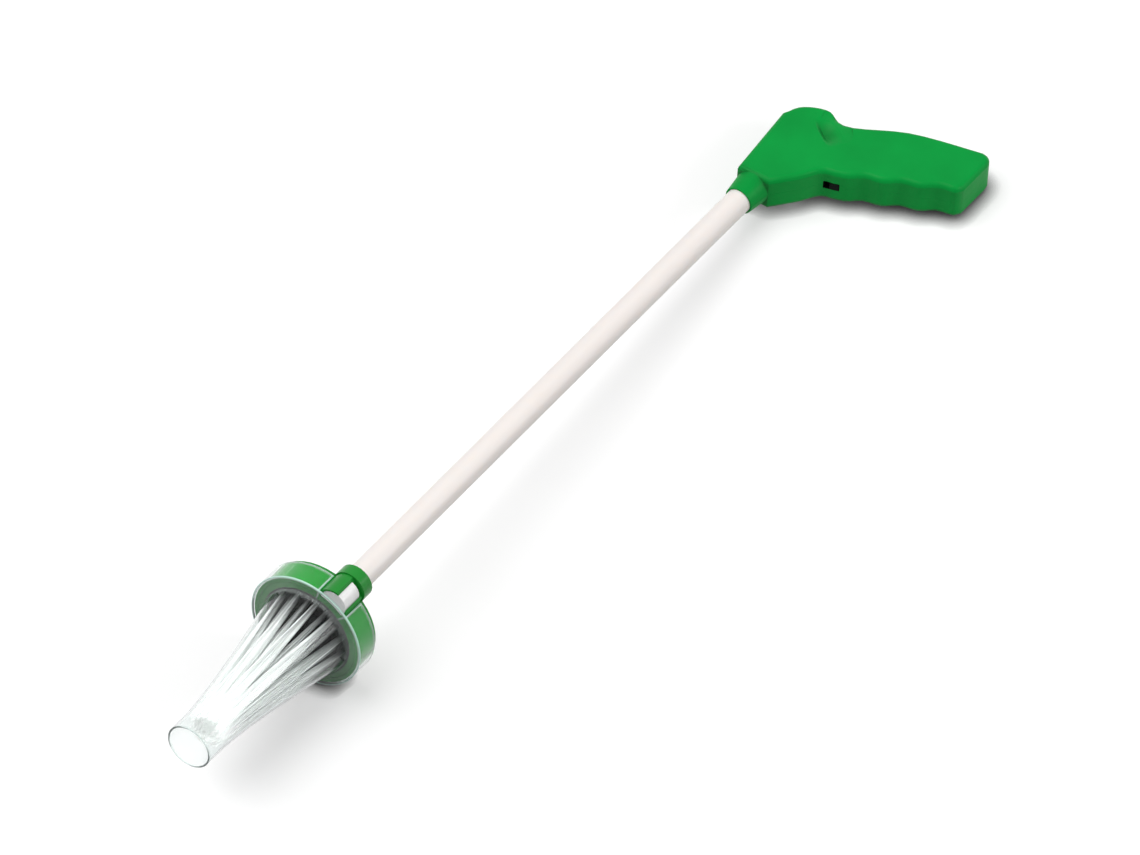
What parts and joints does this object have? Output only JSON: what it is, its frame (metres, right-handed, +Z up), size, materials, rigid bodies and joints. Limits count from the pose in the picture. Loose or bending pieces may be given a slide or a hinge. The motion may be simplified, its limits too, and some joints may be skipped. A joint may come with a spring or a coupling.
{
  "type": "spider catcher",
  "caption": "Hand-held spider catcher: pistol handle with trigger, long tube and drum head whose ring of bristles opens and closes round a small creature, under a clear open-tipped cover.",
  "frame": {"origin": "under the middle of the tool's box, on the floor that it lies on", "axes": "+X along the tube's shadow from the handle to the head, +Y towards the end of the grip, +Z up"},
  "size_m": [0.6578, 0.1598, 0.083],
  "materials": {
    "handle_green": "moulded satin",
    "head_green": "moulded gloss",
    "tube_white": "extruded satin",
    "black": "moulded satin",
    "white": "moulded",
    "steel": "zinc plated",
    "nylon": "drawn strands",
    "clear": "clear moulded"
  },
  "bodies": {
    "handle": {"handle_half_upper": "handle_green", "handle_half_lower": "handle_green", "housing_screw_barrel": "steel", "housing_screw_hump": "steel", "housing_screw_palm": "steel", "housing_screw_heel": "steel", "trigger_pivot_pin": "steel", "return_spring": "steel", "spring_washer": "steel", "tube": "tube_white", "rod_guide_1": "white", "rod_guide_2": "white", "rod_guide_3": "white", "head_drum": "head_green", "front_ring": "head_green", "slide_bearing": "white", "spreader_dome": "black", "spreader_screw": "steel", "guide_pin_1": "steel", "guide_pin_2": "steel"},
    "trigger": {"trigger_lever": "black"},
    "pull_rod": {"pull_rod": "steel", "rod_clevis": "steel", "clevis_pin": "steel", "spring_collar": "steel", "rod_nut_rear": "steel", "rod_nut_front": "steel", "bristle_carrier": "black", "bristles_1": "nylon", "bristles_2": "nylon", "bristles_3": "nylon", "bristles_4": "nylon"},
    "cover": {"storage_cover": "clear"}
  },
  "joints": [
    {"name": "rod_slide", "type": "slide", "parent": "handle", "child": "pull_rod", "axis": [-0.9927, 0, -0.1209], "range_m": [0, 0.008], "stiffness_N_per_m": 400, "springref_m": -0.01, "deforming": ["return_spring"]},
    {"name": "trigger_turn", "type": "hinge", "parent": "handle", "child": "trigger", "pos_m": [-0.28643, 0.03811, 0.01563], "axis": [0.1208, 0.0364, -0.992], "range_deg": [0, 7.2]},
    {"name": "cover_slide", "type": "slide", "parent": "handle", "child": "cover", "axis": [0.9927, 0, 0.1209], "range_m": [0, 0.15]}
  ],
  "couplings": [
    {"joint": "trigger_turn", "follows": "rod_slide", "rad_per_m": 15.625}
  ]
}
